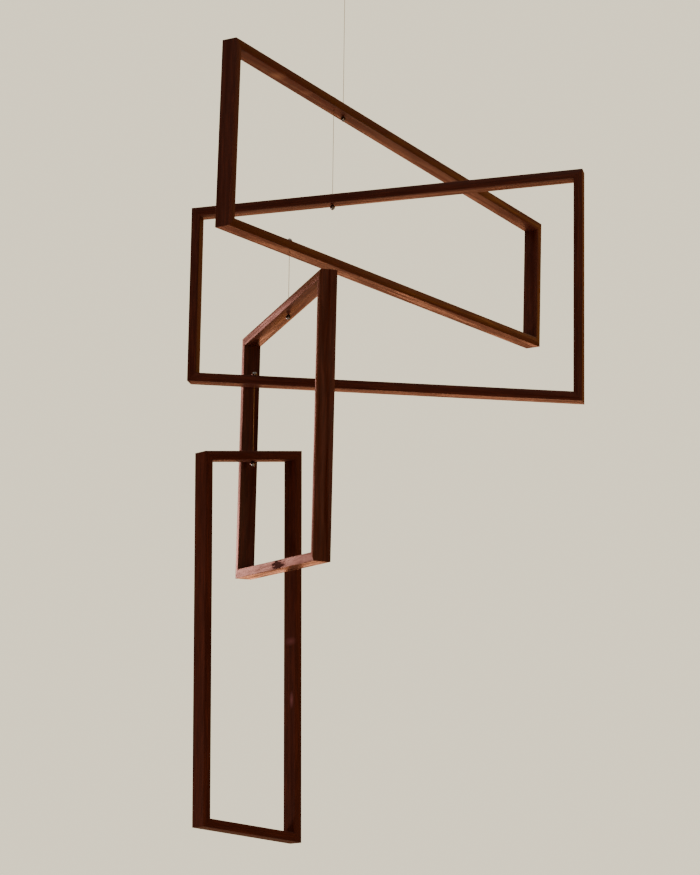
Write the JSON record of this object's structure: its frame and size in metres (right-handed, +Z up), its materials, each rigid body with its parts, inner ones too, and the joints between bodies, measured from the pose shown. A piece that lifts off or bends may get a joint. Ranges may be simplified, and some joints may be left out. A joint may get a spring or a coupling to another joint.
{
  "type": "hanging mobile sculpture",
  "caption": "Hanging mobile of slim wooden trapezoid frames that pass through one another, each balanced on a clear line between steel beads and free to swivel.",
  "frame": {"origin": "centre of the flat top face of the ceiling cap, where the mobile is held up", "axes": "+Z up, along the ceiling line; +X across the picture to the right, along the wide frame; +Y away from the viewer"},
  "size_m": [0.4939, 0.7144, 1.0871],
  "materials": {
    "walnut": "dark walnut strip, fine grain along each bar, oiled to a satin sheen",
    "steel": "polished stainless steel",
    "nylon": "clear nylon line, smooth and glossy"
  },
  "bodies": {
    "ceiling": {"ceiling_cap": "steel", "upper_line": "nylon", "upper_line_lower_bead": "steel"},
    "upper_frame": {"upper_top_rail": "walnut", "upper_bottom_rail": "walnut", "upper_left_post": "walnut", "upper_right_post": "walnut"},
    "wide_frame": {"wide_top_rail": "walnut", "wide_bottom_rail": "walnut", "wide_left_post": "walnut", "wide_right_post": "walnut", "wide_line": "nylon", "wide_line_upper_bead": "steel", "wide_line_lower_bead": "steel"},
    "middle_frame": {"middle_top_rail": "walnut", "middle_bottom_rail": "walnut", "middle_left_post": "walnut", "middle_right_post": "walnut", "middle_line": "nylon", "middle_line_upper_bead": "steel", "middle_line_lower_bead": "steel"},
    "tall_frame": {"tall_top_rail": "walnut", "tall_bottom_rail": "walnut", "tall_left_post": "walnut", "tall_right_post": "walnut", "tall_line": "nylon", "tall_line_upper_bead": "steel", "tall_line_lower_bead": "steel"}
  },
  "joints": [
    {"name": "upper_swivel", "type": "hinge", "parent": "ceiling", "child": "upper_frame", "pos_m": [0, 0, -0.178], "axis": [0, 0, 1], "continuous": true},
    {"name": "wide_swivel", "type": "hinge", "parent": "upper_frame", "child": "wide_frame", "pos_m": [-0.00789, -0.02055, -0.2998], "axis": [0, 0, 1], "range_deg": [-1, 14]},
    {"name": "middle_swivel", "type": "hinge", "parent": "upper_frame", "child": "middle_frame", "pos_m": [-0.04193, -0.10924, -0.46343], "axis": [0, 0, 1], "range_deg": [-6, 4]},
    {"name": "tall_swivel", "type": "hinge", "parent": "wide_frame", "child": "tall_frame", "pos_m": [-0.10336, -0.02055, -0.62384], "axis": [0, 0, 1], "range_deg": [-60, 4]}
  ]
}
